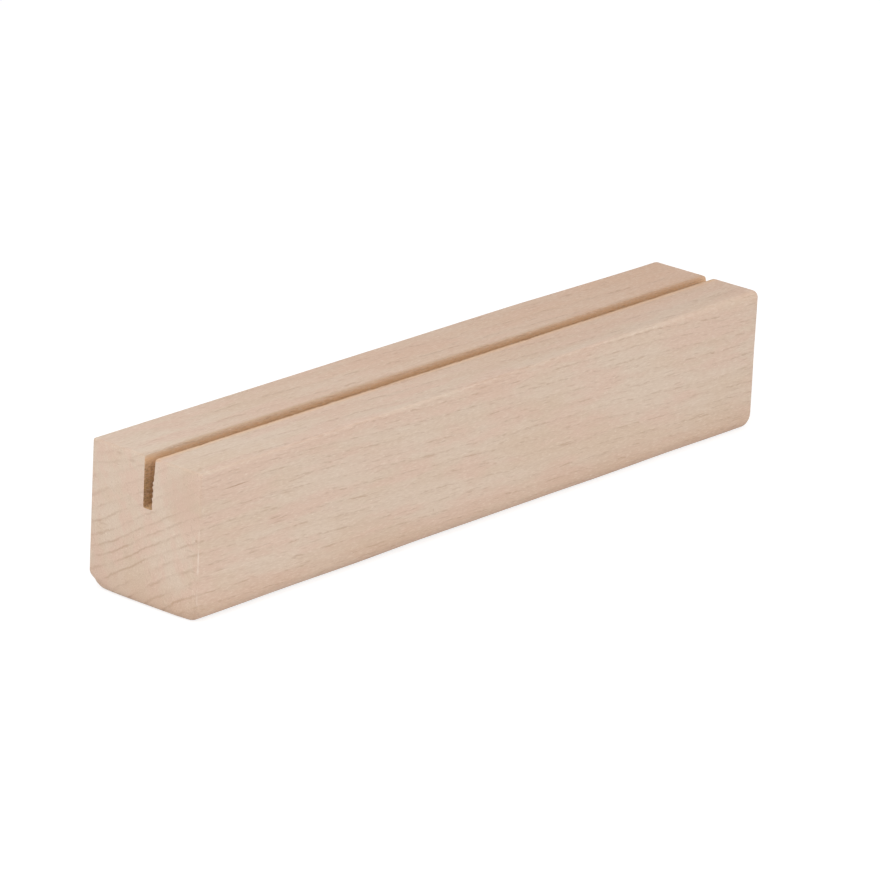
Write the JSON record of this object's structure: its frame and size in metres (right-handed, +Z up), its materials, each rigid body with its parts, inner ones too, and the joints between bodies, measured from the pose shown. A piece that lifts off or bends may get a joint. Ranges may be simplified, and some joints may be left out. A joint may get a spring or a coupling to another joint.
{
  "type": "wooden photo block holder",
  "caption": "Long block of light hardwood with eased edges and a narrow saw-cut slot along its top that holds a photo or card upright.",
  "frame": {"origin": "middle of the face that the block stands on", "axes": "+X along the slot, -Y towards the front, which the slot lies nearer to, and +Z up, out of the slot's mouth"},
  "size_m": [0.152, 0.025, 0.027],
  "materials": {
    "beech": "fine-sanded bare beech, no stain or varnish"
  },
  "bodies": {
    "root": {"holder_block": "beech"}
  },
  "joints": []
}
